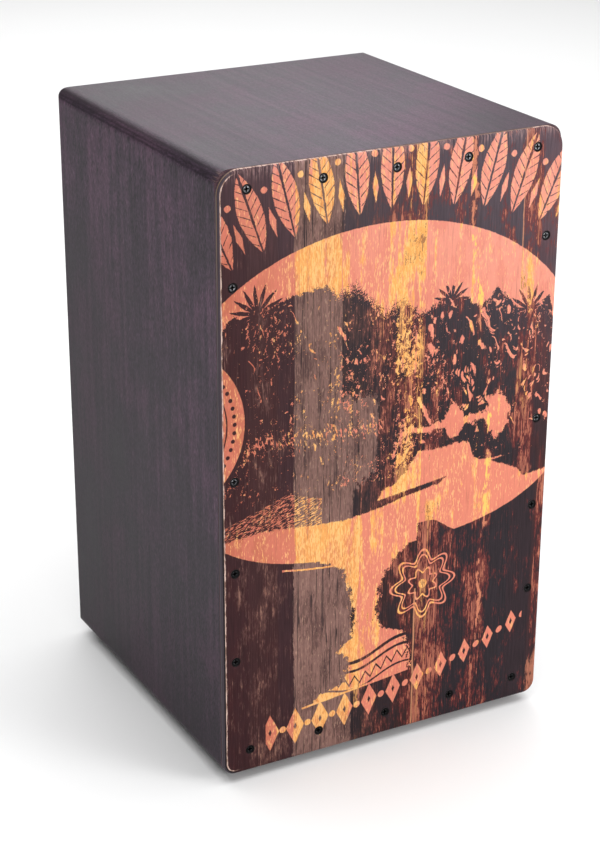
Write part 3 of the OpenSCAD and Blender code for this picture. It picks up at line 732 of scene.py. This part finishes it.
# ---------------------------------------------------------------- snare strands
def coiled_set(node, material):
    """The strands of one set as real coils, each where its CAD rod stands."""
    low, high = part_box(node)
    strand_r = (high.y - low.y) / 2
    wire_r = 0.26 * MM
    coil_r = strand_r - wire_r
    pitch, segments, sides = 1.9 * MM, 12, 5
    strands = 10
    length = high.z - low.z - 2 * wire_r
    turns = length / pitch
    steps = int(turns * segments) + 1
    t = np.linspace(0, 1, steps)
    angle = 2 * math.pi * turns * t
    spine = np.stack([coil_r * np.cos(angle), coil_r * np.sin(angle), wire_r + length * t], 1)
    outward = np.stack([np.cos(angle), np.sin(angle), 0 * t], 1)
    tangent = np.gradient(spine, axis=0)
    tangent /= np.linalg.norm(tangent, axis=1)[:, None]
    binormal = np.cross(tangent, outward)
    binormal /= np.linalg.norm(binormal, axis=1)[:, None]
    round_angle = np.arange(sides) * 2 * math.pi / sides
    ring = (outward[:, None] * np.cos(round_angle)[None, :, None]
            + binormal[:, None] * np.sin(round_angle)[None, :, None]) * wire_r
    one = (spine[:, None] + ring).reshape(-1, 3)
    points, faces = [], []
    for i in range(strands):
        start = len(points) * len(one)
        x = low.x + strand_r + i * (high.x - low.x - 2 * strand_r) / (strands - 1)
        points.append(one + np.array([x, (low.y + high.y) / 2, low.z]))
        for s in range(steps - 1):
            a = start + s * sides
            b = a + sides
            faces += [(a + k, a + (k + 1) % sides, b + (k + 1) % sides, b + k) for k in range(sides)]
        faces.append(tuple(start + k for k in reversed(range(sides))))
        faces.append(tuple(start + (steps - 1) * sides + k for k in range(sides)))
    mesh = bpy.data.meshes.new(node + "_coils")
    mesh.from_pydata(np.concatenate(points).tolist(), [], faces)
    mesh.polygons.foreach_set("use_smooth", [True] * len(mesh.polygons))
    mesh.materials.append(material)
    piece = bpy.data.objects.new(node + "_coils", mesh)
    bpy.context.scene.collection.objects.link(piece)
    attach(piece, "snare_throw")
    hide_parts(node)


# ---------------------------------------------------------------- studio
def make_camera():
    """The photograph's view, from a fit to the body's outline: the camera stands off the middle of the
    striking board's foot by multiples of its height."""
    azimuth, elevation = math.radians(-27.978), math.radians(23.010)
    offset = Vector((-1.5566, -2.5540, 1.7859)) * BODY_H
    back = Vector((math.sin(azimuth) * math.cos(elevation), -math.cos(azimuth) * math.cos(elevation),
                   math.sin(elevation)))
    right = Vector((math.cos(azimuth), math.sin(azimuth), 0))
    up = back.cross(right)
    data = bpy.data.cameras.new("camera")
    data.lens = 86.96
    data.sensor_width = 36
    data.shift_x, data.shift_y = 0.0247, 0.0229
    camera = bpy.data.objects.new("camera", data)
    camera.matrix_world = (Matrix.Translation(Vector((0, board_low.y, board_low.z)) + offset)
                           @ Matrix((right, up, back)).transposed().to_4x4())
    bpy.context.scene.collection.objects.link(camera)
    bpy.context.scene.camera = camera


def soft_box(name, place, aim, size, power):
    data = bpy.data.lights.new(name, "AREA")
    data.shape, data.size, data.size_y = "RECTANGLE", size[0], size[1]
    data.energy = power
    lamp = bpy.data.objects.new(name, data)
    lamp.location = place
    lamp.rotation_euler = (Vector(place) - Vector(aim)).to_track_quat("Z", "Y").to_euler()
    bpy.context.scene.collection.objects.link(lamp)


def make_studio():
    reach = 14.0
    mesh = bpy.data.meshes.new("floor")
    mesh.from_pydata([(-reach, -reach, 0), (reach, -reach, 0), (reach, reach, 0), (-reach, reach, 0)], [],
                     [(0, 1, 2, 3)])
    floor = bpy.data.objects.new("floor", mesh)
    bpy.context.scene.collection.objects.link(floor)
    g = Graph("floor_paper")
    mottle = g.noise(g.x / 300, g.y / 300, detail=2)
    mesh.materials.append(g.finish(g.scale_colour((0.86, 0.86, 0.86, 1), 0.99 + mottle * 0.02), 0.9))
    world = bpy.data.worlds.new("studio")
    world.use_nodes = True
    world.node_tree.nodes["Background"].inputs["Color"].default_value = (1, 1, 1, 1)
    world.node_tree.nodes["Background"].inputs["Strength"].default_value = 0.35
    bpy.context.scene.world = world
    centre = (0, 0, 0.25)
    soft_box("overhead", (0, 0, 2.8), centre, (4.0, 4.0), 115)
    soft_box("behind", (1.1, 3.2, 2.1), (0, 0, 0.6), (2.2, 1.2), 34)
    soft_box("right_front", (1.3, -1.9, 1.3), centre, (1.0, 1.0), 10)
    soft_box("floor_glow", (1.5, -2.1, 0.9), (1.5, -2.1, 0), (1.2, 1.2), 70)
    bpy.context.scene.view_settings.view_transform = "Standard"


# ---------------------------------------------------------------- dress the frame
def dress():
    shared = {
        "zinc_steel": metal("zinc_plate", srgb(196, 198, 202), 0.30),
        "snare_steel": metal("spring_steel", srgb(206, 206, 208), 0.25),
        "foot_rubber": moulded("moulded_rubber", srgb(34, 34, 35), 0.82, 0.06),
        "spacer_nylon": moulded("natural_nylon", srgb(226, 222, 210), 0.5, 0.03),
        "knob_plastic": moulded("knob_plastic", srgb(26, 26, 28), 0.22, 0.01),
        "hardwood_bar": turned_hardwood("turned_beech"),
        "printed_board": striking_board("printed_board"),
    }
    for part in frame["record"]["subparts"]:
        node, slot = part["node"], part["material_slot"]
        if slot == "stained_ply":
            material = shell_material(node)
        elif slot == "black_screw":
            axis, sign = {"back_panel_screws": ("y", 1), "foot_screws": ("z", -1)}.get(node, ("y", -1))
            material = screw_metal(node + "_oxide", node, axis, sign)
        elif slot == "raw_batten":
            low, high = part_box(node)
            size = high - low
            along = "xyz"[max(range(3), key=lambda i: size[i])]
            material = softwood(node + "_pine", along)
        else:
            material = shared[slot]
        for holder in nodes[node].material_slots:
            holder.material = material
    for side in ("left", "right"):
        coiled_set("snare_wires_" + side, shared["snare_steel"])


make_camera()
make_studio()
dress()
